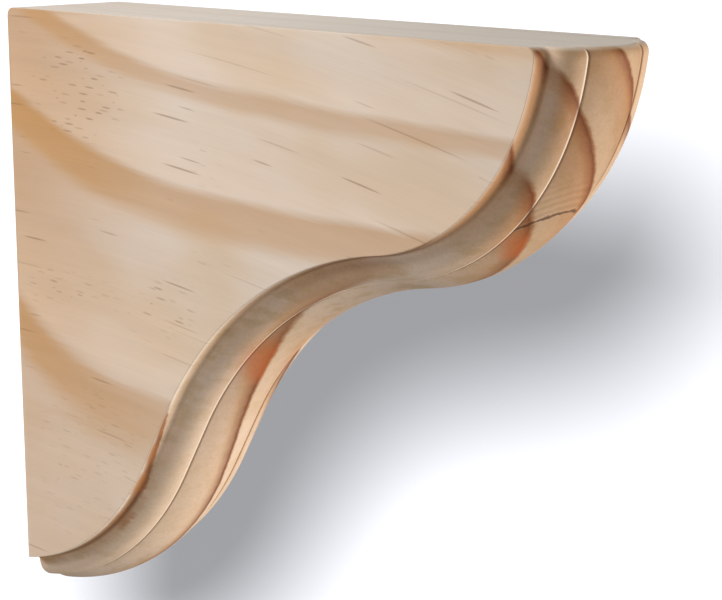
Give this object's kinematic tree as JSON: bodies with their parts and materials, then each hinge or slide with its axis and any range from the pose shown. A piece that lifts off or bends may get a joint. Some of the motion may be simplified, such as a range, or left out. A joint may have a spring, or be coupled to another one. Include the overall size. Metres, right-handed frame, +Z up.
{
  "type": "wooden corbel bracket",
  "caption": "Solid pine corbel bracket with an S-shaped front, a stepped bead-and-crown moulding, a flat wall face and a flat shelf face.",
  "frame": {"origin": "middle of the flat wall face: half the overall height up and half the thickness across", "axes": "+X out from the wall, Y across the thickness, +Z up, square to the shelf face"},
  "size_m": [0.2097, 0.038, 0.175],
  "materials": {
    "pine": "bare sanded softwood"
  },
  "bodies": {
    "root": {"bracket": "pine"}
  },
  "joints": []
}
